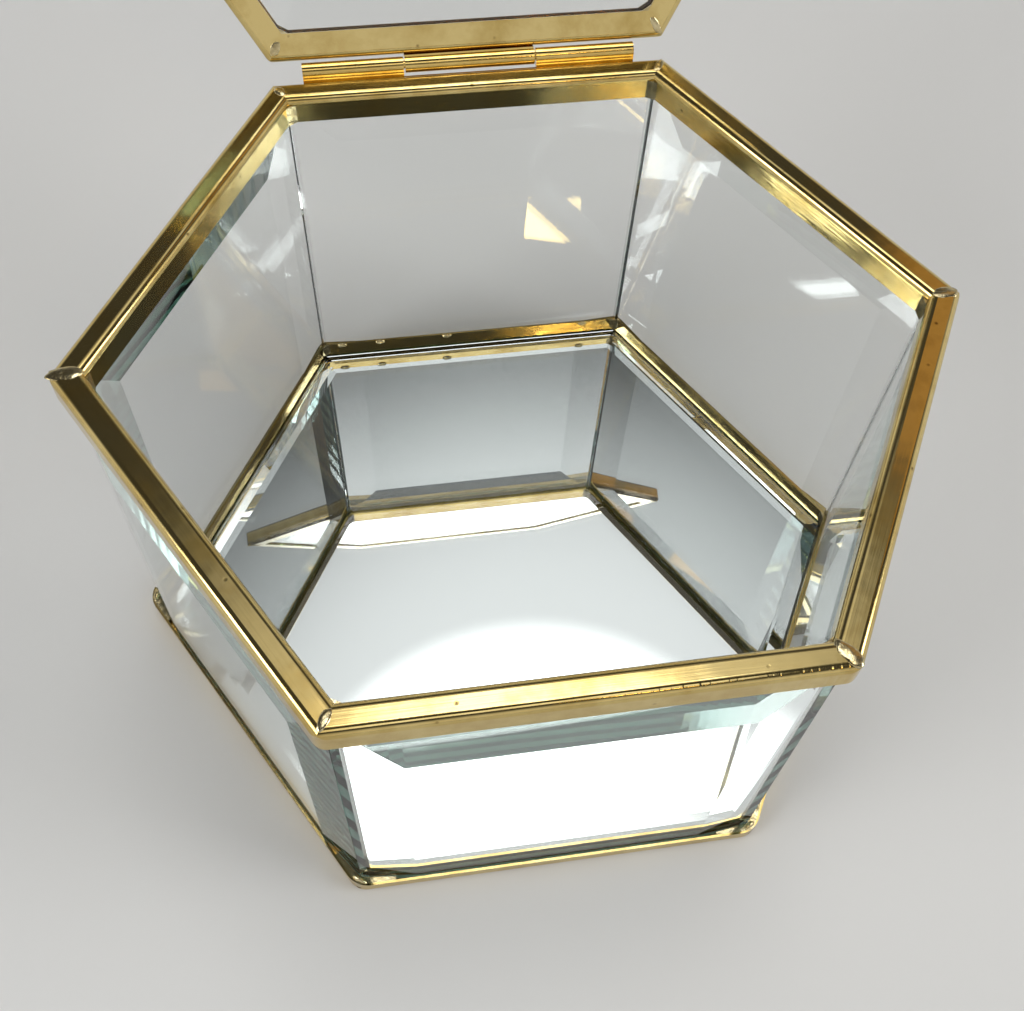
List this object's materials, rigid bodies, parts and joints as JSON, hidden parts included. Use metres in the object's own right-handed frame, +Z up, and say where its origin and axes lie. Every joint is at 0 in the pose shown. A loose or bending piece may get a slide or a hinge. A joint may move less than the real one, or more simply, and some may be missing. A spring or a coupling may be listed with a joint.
{
  "type": "keepsake box",
  "caption": "Hexagonal keepsake box of bevelled glass panes in polished brass channel, with a mirror floor and a framed glass lid on a tube hinge.",
  "frame": {"origin": "centre of the hexagonal base, on the plane that the box rests on", "axes": "+Z up; +Y towards the hinged back side; +X to the right seen from the front; X also runs through two opposite corners"},
  "size_m": [0.1512, 0.1937, 0.1993],
  "materials": {
    "brass_came": "polished rolled brass channel, lightly tarnished",
    "hinge_brass": "polished drawn brass tube and strip",
    "solder": "brass-plated solder, lumpy and bright",
    "wall_glass": "clear float glass with polished bevels, faint green edge",
    "lid_glass": "clear float glass with polished bevel",
    "mirror_glass": "clear glass in front of the silvering",
    "mirror_silver": "silvered, with a painted back",
    "clear_glue": "clear cured adhesive"
  },
  "bodies": {
    "box": {"base_came_front": "brass_came", "base_came_front_right": "brass_came", "base_came_back_right": "brass_came", "base_came_back": "brass_came", "base_came_back_left": "brass_came", "base_came_front_left": "brass_came", "base_corner_solder": "solder", "mirror_floor": "mirror_glass", "mirror_backing": "mirror_silver", "mirror_glue": "clear_glue", "wall_glass_front": "wall_glass", "wall_glass_front_right": "wall_glass", "wall_glass_back_right": "wall_glass", "wall_glass_back": "wall_glass", "wall_glass_back_left": "wall_glass", "wall_glass_front_left": "wall_glass", "corner_glue": "clear_glue", "rim_came_front": "brass_came", "rim_came_front_right": "brass_came", "rim_came_back_right": "brass_came", "rim_came_back": "brass_came", "rim_came_back_left": "brass_came", "rim_came_front_left": "brass_came", "rim_corner_solder": "solder", "box_hinge_leaf": "hinge_brass", "hinge_pin": "hinge_brass"},
    "lid": {"lid_came_front": "brass_came", "lid_came_front_right": "brass_came", "lid_came_back_right": "brass_came", "lid_came_back": "brass_came", "lid_came_back_left": "brass_came", "lid_came_front_left": "brass_came", "lid_glass": "lid_glass", "lid_corner_solder": "solder", "lid_hinge_leaf": "hinge_brass"}
  },
  "joints": [
    {"name": "lid_hinge", "type": "hinge", "parent": "box", "child": "lid", "pos_m": [0, 0.06762, 0.0787], "axis": [1, 0, 0], "range_deg": [0, 115]}
  ]
}
